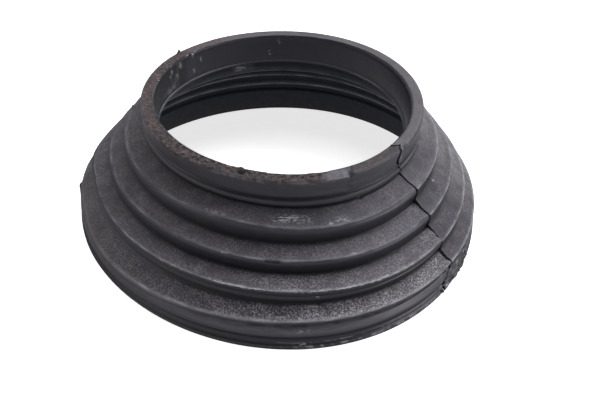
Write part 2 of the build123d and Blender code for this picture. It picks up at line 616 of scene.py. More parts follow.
# %% Cut again
recut = between(16.5, 27.3, 0.6)
face_drop, outer_drop, slant_height = 0.18, 0.8, 2.5
height -= rim * recut * face_drop
near_the_top = np.clip(1 - (boot_height - height) / slant_height, 0, 1)
height -= outer_drop * recut * across_rim**1.5 * near_the_top

cut_bearing = 29.2 - 2.2 * across_rim - 2.2 * cuff * (1 - up_the_cuff)
cut_end = bump(degrees_from(cut_bearing) + 0.4 * relief(1.5, 21), 0.55)
cut_end *= rim + cuff * up_the_cuff**0.4
cut_depth = 0.35
swell -= cut_depth * cut_end
print(f"outer edge cut down by {outer_drop} mm, and the cut is {cut_depth} mm deep")

# %% [markdown]
# In front, bits of the inner edge are missing. They are taken away where a random height is
# above nought: the edge moves outwards there, and down.

# %% Chipped inner edge
inner_edge = np.clip(1 - across_rim * 2.2, 0, 1) * rim + on_run("bore edge")
missing = np.clip(relief(1.7, 7) + 0.35 * relief(0.7, 8), 0, 1)
chipped = inner_edge * between(-78, 17, 5)
radius += chipped * 0.55 * missing
height -= chipped * 0.35 * missing
print(f"missing from the inner edge: up to {(chipped * 0.55 * missing).max():.2f} mm")

# %% [markdown]
# ## Single marks
#
# Pits, gouges, nicks and burrs are each a small bump or dent at one place. A place is given
# as a bearing, a radius and a height, and moved to the nearest point of the surface, so it
# need not be exact. A mark can be stretched round the boot.

# %% Distance from a mark
def distance_from(place_bearing, place_radius, place_height, stretch=0.0):
    """Millimetres from a place on the surface, or from a line through it round the boot."""
    aim = xyz(place_radius, place_height, np.asarray(float(place_bearing)))
    nearest = np.argmin(((even - aim) ** 2).sum(axis=-1))
    gap = even - even.reshape(-1, 3)[nearest]
    turn = np.radians(place_bearing)
    round_gap = gap @ np.array([np.cos(turn), np.sin(turn), 0.0])
    shortened = np.clip(np.abs(round_gap) - stretch / 2, 0, None)
    return np.sqrt(np.clip((gap**2).sum(axis=-1) - round_gap**2 + shortened**2, 0, None))


far_away = distance_from(0, base_radius, 0.0).max()
print(f"the furthest point from the front of the floor is {far_away:.0f} mm away")

# %% [markdown]
# Pits and gouges come first: small holes where air was trapped, and nicks from handling.
# Their places are kept in a mask of their own, because the material paints them dark as shade.

# %% Pits and gouges
pit_marks = (
    # bearing, radius and height, then width, depth and stretch
    ((-16.9, 37.3, 38.6), 0.75, 0.9, 0.6),
    ((-14.0, 37.0, 38.6), 0.5, 0.5, 0.0),
    ((11.5, 36.9, 38.6), 0.45, 0.5, 0.8),
    ((14.3, 36.7, 38.6), 0.5, 0.5, 0.3),
    ((-99.5, 37.6, 38.6), 0.5, 0.6, 0.4),
    ((46.5, 38.6, 38.4), 0.35, 0.4, 0.0),
    ((41.3, 40.4, 29.1), 0.35, 0.3, 0.0),
    ((40.7, 41.8, 28.3), 0.35, 0.3, 0.3),
    ((31.7, 39.4, 29.6), 0.40, 0.35, 0.4),
    ((29.8, 40.0, 29.2), 0.30, 0.3, 0.0),
    ((-2.2, 49.8, 20.6), 0.35, 0.35, 3.6),
    ((5.5, 49.8, 20.4), 0.35, 0.35, 0.3),
    ((12.5, 57.8, 8.9), 0.40, 0.35, 0.0),
    ((38.8, 49.9, 15.9), 0.45, 0.35, 0.4),
    ((-27.1, 52.9, 15.2), 0.45, 0.3, 0.0),
    ((32.4, 54.9, 14.8), 0.40, 0.4, 0.5),
    ((65.4, 44.8, 25.6), 0.40, 0.4, 0.3),
    ((77.4, 50.2, 21.0), 0.50, 0.4, 0.4),
)
pits = np.zeros_like(radius)
for place, width, depth, stretch in pit_marks:
    mark = bump(distance_from(*place, stretch), width)
    swell -= depth * mark
    pits = np.maximum(pits, mark)
print(f"{len(pit_marks)} pits, the deepest point {swell.min():.2f} mm")

# %% [markdown]
# Burrs are the opposite: specks and whiskers of rubber that stand out. The tallest is a spike
# at the rim, at the back joint, where rubber was squeezed up between the halves.

# %% Burrs
burr_marks = (
    # bearing, radius and height, then width, rise and stretch
    ((-17.6, 36.2, 38.6), 0.45, 0.6, 0.3),
    ((-123.5, 39.2, 38.6), 0.45, 1.4, 0.0),
    ((57.0, 38.6, 38.6), 0.50, 0.5, 0.9),
    ((52.2, 38.0, 38.6), 0.40, 0.25, 0.5),
    ((-101.0, 45.9, 27.4), 0.45, 0.7, 0.0),
    ((-93.0, 54.9, 14.9), 0.60, 0.4, 0.0),
    ((-87.3, 60.2, 5.5), 1.30, 0.8, 1.0),
    ((69.1, 45.3, 24.0), 0.35, 0.3, 0.0),
)
for place, width, rise, stretch in burr_marks:
    swell += rise * bump(distance_from(*place, stretch), width)
print(f"{len(burr_marks)} burrs, the highest point {swell.max():.2f} mm")

# %% [markdown]
# ## Flash
#
# Rubber that squeezes out between the halves sets as a thin ragged skin. At the foot of the
# right joint a patch of it still clings to the band and the lip, with two lumps at its foot.

# %% Ragged flash at the foot
flash = between(50.5, 70, 3) * on_run("band", "lip")
ragged = relief(1.3, 12) + 0.7 * relief(0.6, 13)
swell += flash * 0.42 * ragged
swell += 0.9 * bump(distance_from(52.4, 60.0, 0.8, 0.8), 0.7)
swell += 0.5 * bump(distance_from(55.5, 60.0, 1.2, 0.5), 0.6)
print(f"flash: up to {(flash * 0.42 * ragged).max():.2f} mm")

# %% [markdown]
# ## Making the mesh
#
# A crease is a sharp corner: one row of points ends the underside, and the next row starts
# the tread below it. If each were moved its own way, the rubber would fold over itself there.
# So the two rows share one swell and one direction, and the crease moves as one line.

# %% Creases moved as one line
tread_starts = first_rows("tread")
for row in tread_starts:
    for value in (swell, outwards, upwards):
        value[row - 1:row + 1] = value[row - 1:row + 1].mean(axis=0)
print("rows that start at a crease:", tread_starts)

# %% [markdown]
# The grid is closed both ways: the last column joins the first, and the last row, at the
# rim's inner edge, joins the first row. So the mesh is one closed skin with no seam. Nothing
# may sink into the ground, so no height is below nought.

# %% One closed mesh
def grid_mesh(name, points):
    """A closed mesh from a grid of points that joins up in both directions."""
    rows, columns = points.shape[:2]
    index = np.arange(rows * columns).reshape(rows, columns)
    right, below = np.roll(index, -1, 1), np.roll(index, -1, 0)
    corner = np.roll(right, -1, 0)
    faces = np.stack([index, below, corner, right], axis=-1).reshape(-1, 4)
    mesh = bpy.data.meshes.new(name)
    mesh.from_pydata(points.reshape(-1, 3).tolist(), [], faces.tolist())
    mesh.validate()
    return mesh


surface = xyz(radius + outwards * swell, np.maximum(height + upwards * swell, 0), bearing)
rubber_mesh = grid_mesh("bellows_boot_rubber", surface * MM)
print("vertices:", len(rubber_mesh.vertices), "faces:", len(rubber_mesh.polygons))

# %% [markdown]
# Smooth shading hides the facets, but it would also round off what is really sharp. Blender
# can mark every edge where the faces turn by more than an angle. Along a crease that angle
# comes and goes with the relief, and the line would flicker, so the creases are marked whole.

# %% Smooth with sharp edges
sharp_angle = radians(60)
rubber_mesh.shade_smooth()
rubber_mesh.set_sharp_from_angle(angle=sharp_angle)

ends = np.empty(2 * len(rubber_mesh.edges), dtype=int)
rubber_mesh.edges.foreach_get("vertices", ends)
start_row, end_row = ends.reshape(-1, 2).T // len(bearings)
on_crease = (start_row == end_row) & np.isin(start_row, (tread_starts, tread_starts - 1))

sharp_edges = rubber_mesh.attributes["sharp_edge"].data
sharp = np.empty(len(sharp_edges), dtype=bool)
sharp_edges.foreach_get("value", sharp)
sharp_edges.foreach_set("value", sharp | on_crease)
print("sharp edges:", int((sharp | on_crease).sum()))

# %% [markdown]
# The finished mesh becomes an object, rides on the boot's only body, and stands for the
# engineering model's rubber.

# %% Piece in the scene
boot = bpy.data.objects.new("bellows_boot_rubber", rubber_mesh)
bpy.context.scene.collection.objects.link(boot)
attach(boot, "root")
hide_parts("bellows_boot")
print("piece:", boot.name)

# %% [markdown]
# ## Finishes as masks
#
# The rubber is one material, but not one finish. The treads of the folds are grainy, the
# undersides, the cuff and the band are smooth, the rim is crumbling and dusty, the creases
# are painted dark as shade, and edges are rubbed bright, partly as painted highlights. Each
# finish is a number at every point of the grid, 0 where there is none and 1 where it is full,
# stored on the mesh as an attribute, and the material mixes its colour and roughness from them.
#
# A mask is put together from simpler ones, and where they meet, the strongest wins. A line
# along an edge is given in millimetres before and after a row, because rows stand much closer
# together round an edge than on a flank.

# %% Helpers for masks
def strongest(*masks):
    """The highest of several masks at each point."""
    return reduce(np.maximum, masks)


along_section = np.cumsum(np.hypot(*(near_section - np.roll(near_section, 1, 0)).T))


def beside_rows(rows, before, after):
    """1 on the given rows, fading over two distances in mm: before them and after them."""
    gap = along_section[:, None] - along_section[rows][None, :]
    return np.where(gap < 0, bump(gap, before), bump(gap, after)).max(axis=1)[:, None]


def by_run(name, values):
    """One value for the first run of a name, the next for the second, and so on."""
    count = np.searchsorted(first_rows(name), row_number, side="right") - 1
    return np.array(values)[np.clip(count, 0, len(values) - 1)][:, None]


print(f"once round the section: {along_section[-1]:.0f} mm")

# %% [markdown]
# **Grain.** The near half of the mould was left matt, and gave its treads a grain. The far
# half was nearly polished. Grain also marks every torn or worn surface: the rim, the edge
# that was rolled over on the left, and the crumbs that fell from the rim over the top of the
# cuff.

# %% Grain
soft_treads = (np.roll(treads, 1, 0) + 2 * treads + np.roll(treads, -1, 0)) / 4
rolled_over = between(-140, -42, 30) * on_run("edge", "band") * np.clip(height - 2.6, 0, 1)
spill = beside_rows(first_rows("cuff"), 0.2, 1.3) * cuff * between(-60, 17, 12)
spill *= np.clip(0.8 + relief(1.3, 20), 0, 1)

grainy = strongest(
    soft_treads * np.where(near_side, 1.0, 0.12),
    rolled_over,
    rim * torn * (0.6 + 0.4 * between(-60, 20, 30)),
    rim * (0.25 + 0.65 * between(28, 56, 3)),
    spill,
)
print(f"grain covers {grainy.mean():.0%} of the points")

# %% [markdown]
# **Bloom.** Wax comes out of old rubber and dries to a pale film. It holds on to grain, and it
# is wiped off by hands, so each fold has its own share, in front and on the left. The
# material breaks the film up into grains, and a share above 1 leaves fewer gaps in it.

# %% Bloom
left_side = between(-170, -20, 50)
bloom_in_front = by_run("tread", (0.35, 0.98, 1.1, 1.9))
bloom_at_left = by_run("tread", (0.95, 0.82, 1.0, 0.7))
bloom_of_fold = bloom_in_front + (bloom_at_left - bloom_in_front) * left_side
bloom_of_fold += 0.4 * between(25, 60, 15)
bloom_of_rim = np.where(near_side, 0.3 + 0.6 * between(-128, -85, 20), 1.2)

chalky = strongest(
    soft_treads * np.where(near_side, bloom_of_fold, 0.95), 0.65 * rolled_over, rim * bloom_of_rim
)
print(f"most bloom: {chalky.max():.2f}")

# %% [markdown]
# ** Haze, salt and painted glints.** On smooth rubber the same wax is a thin even haze, as on
# the cuff, the edge and the band. On the last fold, from the front round to the right, it has
# dried to white grains like salt, which also stand for painted glints.

# %% Haze, salt and painted glints
haze_of_band = 0.15 + 0.3 * between(-60, 54, 30) + 0.5 * between(-30, 54, 30)
hazy = strongest(
    on_run("edge", "band") * near_side * haze_of_band * np.clip(height - 4, 0, 1),
    on_run("cuff", "neck") * (0.18 + 0.2 * between(15, 70, 20)),
    soft_treads * 0.5 * between(20, 54, 20),
    on_run("edge") * near_side * 0.8,
    rim * far_side,
)
# Painted glints: white specks on the grain, partly dried wax.
salt_and_glint_specks = strongest(
    soft_treads * by_run("tread", (0.1, 0.1, 0.25, 1.0)), beside_rows(first_rows("edge"), 2.2, 0.3)
)
salt_and_glint_specks = salt_and_glint_specks * near_side * (0.3 + 0.7 * between(-12, 70, 25))
print(f"haze {hazy.mean():.0%}, salt {salt_and_glint_specks.mean():.0%} of the points")

# %% [markdown]
# **Dust.** Brown dust lies on the torn rim, where it can't be wiped off, and thinly over the
# left side. The stretch that was cut again is nearly clean.

# %% Dust
dusty = rim * (0.10 + 0.90 * between(-150, 17, 12)) * (1 - 0.8 * recut)
dusty = dusty + 0.22 * left_side * outside_runs
dusty = np.clip(dusty + 0.45 * between(28, 54, 2) * rim, 0, 1)
dusty = strongest(dusty, spill)
print(f"dust covers {dusty.mean():.0%} of the points")

# %% [markdown]
# ** Grease and painted shade.** The creases, the grooves of the neck, the ring, the band and the
# lip, the crack and the pits are made near-black: painted shade, with a little real grease
# among it. First come the dark lines that follow a crease or a groove round the boot.

# %% Painted shade in the creases and grooves
neck_start, lip_start = first_rows("neck")[0], first_rows("lip")[0]
neck_groove, neck_bead, neck_foot = neck_start + 3, neck_start + 7, neck_start + 11
ring_groove = first_rows("ring") + 3
lip_grooves, lip_ridges = (lip_start, lip_start + 6), (lip_start + 3, lip_start + 8)

# Painted shade: a dark line along each crease and groove.
painted_groove_shade = strongest(
    beside_rows(tread_starts, 1.5, 0.6) * np.where(near_side, 1.0, 0.5) * outside_runs,
    rows_near(neck_groove, 1.2) * near_side * 0.7,
    rows_near(neck_groove, 2.2) * far_side,
    rows_near(neck_foot, 2.0) * far_side,
    rows_near(tread_starts[0], 1.5) * far_side,
    rows_near(ring_groove, 1.0) * near_side,
    rows_near(first_rows("band"), 1.0) * near_side,
    rows_near(lip_grooves, 0.9) * between(-40, 54, 30),
)
print(f"grease in the grooves: {painted_groove_shade.mean():.1%} of the points")

# %% [markdown]
# Then the smears and blotches that are found in one place only: inside the cuff on the left,
# along its trimmed edge, in the knife's cut, low on the band, and between the flakes of the
# flash. Two are painted shade: low on the band and the lip on the left, under the edge that was
# pushed down, and inside the boot, darker towards the floor. Random heights break most of them
# up, so that they don't end in a clean line.

# %% Smeared grease and painted shade
def patch(marks):
    """The strongest of several marks, each a place with a width, a stretch and a strength."""
    return strongest(*(
        strength * bump(distance_from(*place, stretch), width)
        for place, width, stretch, strength in marks
    ))


trimmed = rows_near(first_rows("cuff"), 1.3) * np.clip(2.0 * relief(1.6, 17), 0, 1)
streaky = np.clip(1.5 * relief(2.2, 15, even * (1, 1, 3)) + 0.4, 0, 1)
blotchy = np.clip(1.6 * relief(1.8, 16) + 0.1, 0, 0.9)
smudges_on_the_cuff = patch((
    ((25.3, 38.9, 35.6), 0.6, 0.0, 0.5),
    ((27.3, 38.9, 34.6), 0.8, 0.0, 0.55),
    ((29.5, 38.9, 33.9), 0.6, 0.4, 0.4),
))
# Painted shade: low on the band and the lip on the left, under the pushed-down edge.
shade_low_on_the_left = between(-150, -25, 45) * np.clip((4.0 - height) / 1.5, 0, 1)
smears_and_painted_shade = strongest(
    on_run("bore", "bore edge") * between(-123, -86, 4) * 0.85,
    trimmed * between(-78, -22, 12),
    0.8 * cut_end,
    smudges_on_the_cuff,
    # Painted shade: the base bore inside, darker towards the floor.
    on_run("base bore") * np.clip(1.0 - height / 6, 0.0, 0.7),
    0.75 * on_run("band", "lip") * shade_low_on_the_left,
    flash * np.clip(0.3 + 1.6 * ragged, 0, 1),
    beside_rows(first_rows("ring"), 0.5, 0.4) * streaky * between(-30, 45, 15),
    beside_rows(first_rows("band"), 0.3, 0.7) * streaky * between(-25, 40, 15),
    beside_rows(first_rows("lip"), 1.8, 0.8) * blotchy * between(-28, 2, 8),
)
# Mostly painted shade in the creases, grooves, crack and pits, with some real smears.
grease_and_painted_shade = np.clip(strongest(painted_groove_shade, smears_and_painted_shade, pits, crack), 0, 1)
print(f"grease in all: {grease_and_painted_shade.mean():.1%} of the points")

# %% [markdown]
# ** Rubbed edges and painted highlights.** Whatever stands out is made pale: the crests, the
# last edge, the raised edge along the joint and the ridges inside. These pale lines are partly
# wear and partly painted highlights. The far half, whose crests are sharp, gets them most. A
# random factor makes the lines come and go.

# %% Rubbed crests and edges, and painted highlights
far_wear_and_highlight = 0.55 + 0.45 * bump(degrees_from(75), 40)
# Painted highlight: pale lines along the crests, the last edge and the joint, partly wear.
wear_and_painted_highlight = strongest(
    rows_near(crests, 1.0) * np.where(near_side, 0.3, far_wear_and_highlight),
    rows_near(crests[2], 0.9) * np.where(near_side, 0.3 + 0.7 * between(-45, 54, 30), far_wear_and_highlight),
    rows_near(last_edge_row, 1.1)
    * np.where(near_side, 0.9 * between(-50, 54, 25), 1.2 * far_wear_and_highlight),
    rows_near(neck_bead, 0.7) * far_side * 0.3,
    rows_near(crests, 1.2) * 0.25 * between(-125, -75, 20),
)
wear_and_painted_highlight *= np.clip(0.8 + 0.7 * relief(2.6, 14), 0.1, 1.3)
for joint in joint_bearings:
    raised_edge = outside_runs * far_side * bump(degrees_from(joint), 0.3)
    wear_and_painted_highlight = strongest(wear_and_painted_highlight, raised_edge * torn_edge)
print(f"rubbed edges: {wear_and_painted_highlight.mean():.1%} of the points")

# %% [markdown]
# Inside, the ridges and the foot of the bore get pale lines that are painted highlights, and
# something was dragged down the bore on the left. Outside, the crumbs of the rim left a pale
# fringe on the cuff, and the flash and the lip are scraped where they stand highest. One faint
# smear is at the back.

# %% Rubbed places and painted highlights
wiped_marks = (
    ((-114.5, 36.8, 32.0), 0.9, 1.0, 0.5),
    ((-110.5, 36.9, 31.3), 1.0, 1.5, 0.5),
    ((-106.0, 37.0, 31.1), 0.8, 1.5, 0.4),
)
smear_at_the_back = 0.2 * bump(distance_from(-160.0, 42.6, 23.2, 5.0), 1.2)
bore, bore_foot_row = on_run("bore"), first_rows("bore") - 1
below_the_rounding = first_rows("cuff") + 2
fringe = beside_rows(below_the_rounding, 0.5, 0.5) * between(-28, 17, 8)
fringe *= np.clip(0.15 + 0.6 * relief(1.0, 22), 0, 0.35)
crumbly = np.clip(1.5 * relief(0.9, 18) - 0.1, 0, 0.8)
# Painted highlights on the ridges inside and at the foot of the bore, with real wipes and scrapes.
wear_and_painted_highlight = strongest(
    wear_and_painted_highlight,
    rows_near(first_rows("ridge"), 1.0) * by_run("ridge", (0.8, 0.8, 0.5)),
    rows_near(bore_foot_row, 0.8) * (0.35 + 0.4 * between(-120, -95, 10)),
    bore * 0.5 * bump(degrees_from(-117), 0.6),
    bore * patch(wiped_marks),
    smear_at_the_back,
    fringe,
    flash * np.clip(-0.3 - 1.5 * ragged, 0, 1),
    rows_near(lip_ridges, 0.8) * crumbly * between(2, 54, 12),
)
wear_and_painted_highlight = np.clip(wear_and_painted_highlight, 0, 1)
print(f"rubbed in all: {wear_and_painted_highlight.mean():.1%} of the points")

# %% [markdown]
# ** Scuffs and painted highlights.** Fresh scuffs are nearly white, and short. Most are single
# marks: strokes across the first fold in front, and specks of lime inside the bore on the left.
# The rest run along the crests and the last edge, as white flecks that are partly drag marks
# and partly painted highlights.

# %% Scuffs and painted highlights
scuff_marks = (
    # bearing, radius and height, then width, stretch and strength
    ((3.8, 41.9, 28.7), 0.8, 8.0, 1.0),
    ((-23.3, 43.4, 27.9), 0.5, 5.0, 0.4),
    ((16.4, 44.1, 28.0), 0.5, 1.2, 0.6),
    ((21.5, 43.4, 28.2), 0.8, 2.4, 0.6),
    ((-17.0, 49.5, 21.3), 0.35, 1.0, 0.7),
    ((22.8, 49.6, 21.3), 0.35, 0.3, 1.0),
    ((10.6, 54.6, 12.8), 0.30, 0.0, 1.0),
    ((69.1, 45.3, 24.0), 0.30, 0.0, 1.0),
    ((6.8, 59.9, 5.4), 0.35, 3.5, 0.4),
    ((6.3, 60.0, 0.6), 0.5, 3.0, 0.7),
    ((-112.3, 36.9, 36.6), 0.45, 0.0, 1.0),
    ((-111.0, 37.0, 35.2), 0.4, 0.0, 1.0),
    ((-119.3, 36.6, 36.6), 0.45, 0.3, 1.0),
    ((-128.3, 36.4, 32.3), 0.35, 0.0, 1.0),
    ((-116.0, 36.8, 33.8), 0.5, 0.8, 0.5),
    ((-113.5, 36.8, 31.6), 0.5, 1.2, 0.5),
    ((-110.0, 36.9, 31.0), 0.5, 1.2, 0.5),
    ((-158.4, 42.3, 23.5), 0.9, 2.0, 0.9),
    ((-128.0, 36.2, 37.8), 0.3, 0.3, 1.0),
    ((-133.0, 36.1, 34.5), 0.3, 0.0, 1.0),
    ((-170.4, 35.7, 32.8), 0.3, 0.2, 0.8),
    ((-175.0, 35.3, 36.7), 0.3, 0.0, 0.8),
)
edges = np.append(crests, last_edge_row)
# Painted highlight: white flecks along the crests and the last edge, partly drag marks.
drag_marks_and_highlights = strongest(
    beside_rows(edges[2:], 0.45, 0.35) * between(-24, 46, 16) * near_side * 0.7,
    0.4 * beside_rows(edges[2:3], 0.4, 0.3) * between(-48, -24, 8),
    beside_rows(edges, 0.25, 0.2) * between(56, 104, 20) * far_side * 0.6,
)
drag_marks_and_highlights *= np.clip(0.6 + 1.2 * relief(3.4, 19), 0, 1)
scuffs_and_highlight_flecks = strongest(patch(scuff_marks), drag_marks_and_highlights)
print(f"scuffs: {scuffs_and_highlight_flecks.mean():.2%} of the points")

# %% [markdown]
# ** Dull rubber and painted shade.** Inside the folds, and on the left under the crests and on
# the band, the rubber has lost its gloss. It is painted a deep blue-black there as shade, and it
# is quite matt.

# %% Dull rubber and painted shade
lower_runs = on_run("underside", "ring", "edge", "band", "lip")
# Painted shade inside the folds and low on the left, together with a matt finish.
dull_and_painted_shade = strongest(
    on_run("hollow", "ridge", "base bore"),
    0.9 * lower_runs * between(-150, -40, 45) * (1 - rolled_over),
    0.7 * bore * between(-123, -84, 5),
)
print(f"dull: {dull_and_painted_shade.mean():.0%} of the points")

# %% [markdown]
# The masks are stored on the mesh, one number for each point. One more number goes with
# them: how far round the boot a point lies, in millimetres. The material uses it for marks
# that run round the boot.

# %% Masks on the mesh
masks = dict(
    grainy=grainy, chalky=chalky, dusty=dusty, grease_and_painted_shade=grease_and_painted_shade, wear_and_painted_highlight=wear_and_painted_highlight, scuffs_and_highlight_flecks=scuffs_and_highlight_flecks,
    dull_and_painted_shade=dull_and_painted_shade, hazy=hazy, salt_and_glint_specks=salt_and_glint_specks, round_the_boot=radius * np.radians(bearing),
)
for name, mask in masks.items():
    attribute = rubber_mesh.attributes.new(name, "FLOAT", "POINT")
    attribute.data.foreach_set("value", mask.astype(np.float32).ravel())
    print(f"{name}: mean {mask.mean():.2f}, most {mask.max():.2f}")

# %% [markdown]
# ## Building a material from nodes
#
# A procedural material is a small network. These helpers each add one node and return its
# output, so that the material itself can be read as a list of decisions: a noise of some
# size, a value moved to another range, two values multiplied, two colours mixed. First come
# the sources: a mask from the mesh, and a noise in space.

# %% Material and its sources
rubber = bpy.data.materials.new("worn_black_rubber")
rubber.use_nodes = True
nodes, connect = rubber.node_tree.nodes, rubber.node_tree.links.new
shader = nodes["Principled BSDF"]
position = nodes.new("ShaderNodeTexCoord").outputs["Object"]


def mask_value(name):
    """One of the masks stored on the mesh."""
    node = nodes.new("ShaderNodeAttribute")
    node.attribute_name = name
    return node.outputs["Fac"]


def noise(size, detail, roughness, place=position):
    """Noise with blotches of about `size` millimetres."""
    node = nodes.new("ShaderNodeTexNoise")
    node.inputs["Scale"].default_value = 1 / (size * MM)
    node.inputs["Detail"].default_value = detail
    node.inputs["Roughness"].default_value = roughness
    connect(place, node.inputs["Vector"])
    return node.outputs["Fac"]


print("material:", rubber.name)

# %% [markdown]
# Then the steps in between: a range, a step of arithmetic, and a layer of colour. The last
# two take either the output of another node or a plain value.

# %% Ranges, arithmetic and layers
def set_or_connect(socket, value):
    """Join an output to a socket, or write a number or colour on it."""
    if isinstance(value, bpy.types.NodeSocket):
        connect(value, socket)
    else:
        socket.default_value = (*value, 1) if isinstance(value, tuple) else value


def remap(value, low, high, to_low=0.0, to_high=1.0):
    """Move a value from one range to another and hold it there."""
    node = nodes.new("ShaderNodeMapRange")
    limits = {"From Min": low, "From Max": high, "To Min": to_low, "To Max": to_high}
    for name, number in limits.items():
        node.inputs[name].default_value = number
    connect(value, node.inputs["Value"])
    return node.outputs["Result"]


def calculate(operation, first, second):
    """One step of arithmetic."""
    node = nodes.new("ShaderNodeMath")
    node.operation = operation
    set_or_connect(node.inputs[0], first)
    set_or_connect(node.inputs[1], second)
    return node.outputs["Value"]


def mix_colour(share, under, over):
    """Lay one colour over another."""
    node = nodes.new("ShaderNodeMix")
    node.data_type = "RGBA"
    set_or_connect(node.inputs["Factor"], share)
    set_or_connect(node.inputs["A"], under)
    set_or_connect(node.inputs["B"], over)
    return node.outputs["Result"]


print("nodes before the first layer:", len(nodes))

# %% [markdown]
# Scratches and smears run round the boot, because that is how it is wiped and dragged. A
# noise that is stretched that way needs coordinates that follow the rubber: how far round,
# how high and how far out. The first was stored on the mesh with the masks.

# %% Coordinates that run round the boot
place_parts = nodes.new("ShaderNodeSeparateXYZ")
connect(position, place_parts.inputs["Vector"])
flat_distance = nodes.new("ShaderNodeVectorMath")
flat_distance.operation = "LENGTH"
flat_place = nodes.new("ShaderNodeCombineXYZ")
for axis in "XY":
    connect(place_parts.outputs[axis], flat_place.inputs[axis])
connect(flat_place.outputs["Vector"], flat_distance.inputs[0])


def streak_place(stretch):
    """Coordinates in which noise comes out stretched round the boot."""
    place = nodes.new("ShaderNodeCombineXYZ")
    connect(calculate("MULTIPLY", mask_value("round_the_boot"), MM / stretch), place.inputs["X"])
    connect(place_parts.outputs["Z"], place.inputs["Y"])
    connect(flat_distance.outputs["Value"], place.inputs["Z"])
    return place.outputs["Vector"]


print("nodes with the coordinates:", len(nodes))

# %% [markdown]
# ## Worn black rubber
#
# Black rubber is nearly black all through, and what is seen of it is mostly gloss. Its colour
# is laid down in layers, in this order: the rubber with some painted shade, its wax, dust,
# rubbing with painted highlights, grease with painted shade, and the latest scuffs. Each layer
# is a mask, broken up by a noise of the right size.

# %% Bare rubber
fine_speckle = noise(0.45, 3.0, 0.65)
speckle = noise(1.3, 4.0, 0.6)
blotch = noise(7.0, 3.0, 0.55)
streaks = noise(0.9, 3.0, 0.6, streak_place(7.0))
clouds = remap(noise(4.5, 3.0, 0.6), 0.35, 0.65, 0.35, 1.25)

black, faded_black, painted_shade_blue_black = (
    (0.006, 0.007, 0.011), (0.013, 0.014, 0.020), (0.002, 0.007, 0.013)
)
colour = mix_colour(blotch, black, faded_black)
# Painted shade: the dull places get a darker blue-black.
colour = mix_colour(mask_value("dull_and_painted_shade"), colour, painted_shade_blue_black)
print("nodes with the bare rubber:", len(nodes))

# %% [markdown]
# ** Wax and painted glints.** The haze on smooth rubber is wiped into streaks. The bloom on the
# treads sits on single grains, so it is cut up by a fine speckle, and so is the salt, which is
# much brighter, stands also for painted glints, and leaves more of the black between its grains.

# %% Haze, bloom, and salt with painted glints
haze_grey, bloom_grey, salt_and_glint_white = (
    (0.070, 0.069, 0.077), (0.095, 0.089, 0.100), (0.34, 0.33, 0.35)
)
haze = calculate("MULTIPLY", mask_value("hazy"), remap(streaks, 0.25, 0.65, 0.3, 1.0))
colour = mix_colour(haze, colour, haze_grey)

chalk = calculate("MULTIPLY", mask_value("chalky"), clouds)
bloom = calculate("MULTIPLY", chalk, remap(fine_speckle, 0.38, 0.66))
colour = mix_colour(bloom, colour, bloom_grey)

# Painted glints: white specks, partly dried wax.
salt_and_glints = calculate("MULTIPLY", mask_value("salt_and_glint_specks"), clouds)
salt_and_glints = calculate("MULTIPLY", salt_and_glints, remap(noise(0.45, 3.0, 0.7), 0.50, 0.64))
colour = mix_colour(salt_and_glints, colour, salt_and_glint_white)
print("nodes with the wax:", len(nodes))

# %% [markdown]
# **Dust and crumbs.** Dust is brown and uneven. Where the rim is both dusty and torn, pale
# crumbs lie among it, and small holes between them show black rubber.

# %% Dust and crumbs
dust_brown, crumb_grey, hole_black = (
    (0.084, 0.062, 0.055), (0.15, 0.12, 0.11), (0.010, 0.008, 0.007)
)
dust = calculate("MULTIPLY", mask_value("dusty"), remap(speckle, 0.30, 0.65, 0.15, 1.0))
colour = mix_colour(dust, colour, dust_brown)

crumbs = calculate("MULTIPLY", mask_value("dusty"), mask_value("grainy"))
pale_crumbs = calculate("MULTIPLY", crumbs, remap(speckle, 0.56, 0.66, 0.0, 0.8))
colour = mix_colour(pale_crumbs, colour, crumb_grey)
holes = calculate("MULTIPLY", crumbs, remap(noise(0.9, 4.0, 0.7), 0.47, 0.56))
colour = mix_colour(holes, colour, hole_black)
print("nodes with the dust:", len(nodes))

# %% [markdown]
# ** Rubbing, grease and scuffs.** Rubbed edges are pale and streaky, partly as painted
# highlights. The grease layer is blacker than the rubber and hides what is below it; most of
# it is painted shade. Scuffs are the newest marks, so they lie on top of everything, and fine
# scratches break them up.

# %% Rubbing, grease and scuffs, with painted shade and highlights
wear_and_highlight_grey, shade_and_grease_black, scuff_and_highlight_white = (
    (0.32, 0.32, 0.35), (0.004, 0.004, 0.005), (0.38, 0.38, 0.40)
)
# Painted highlight: pale streaky lines on crests, edges and ridges, partly wear.
wear_and_highlight = calculate("MULTIPLY", mask_value("wear_and_painted_highlight"), remap(streaks, 0.35, 0.60, 0.35, 1.0))
colour = mix_colour(wear_and_highlight, colour, wear_and_highlight_grey)
# Painted shade: creases, grooves, the crack, the pits and low places are made near-black.
colour = mix_colour(remap(mask_value("grease_and_painted_shade"), 0.1, 1.0, 0.0, 0.95), colour, shade_and_grease_black)

scratches = noise(0.45, 3.0, 0.7, streak_place(2.5))
# Painted highlight flecks along the crests and the last edge, among real scuffs.
scuff_and_highlight = calculate("MULTIPLY", mask_value("scuffs_and_highlight_flecks"), remap(scratches, 0.47, 0.57))
colour = mix_colour(scuff_and_highlight, colour, scuff_and_highlight_white)
connect(colour, shader.inputs["Base Color"])
print("nodes with every colour:", len(nodes))

# %% [markdown]
# ** Gloss.** Smooth rubber is fairly glossy. Grain, dust and dull rubber scatter the light,
# and the grease and painted shade and the rubbed and highlit lines smooth it again. So the
# roughness starts from the grain, varies a little everywhere, and each finish adds to it or
# takes away.

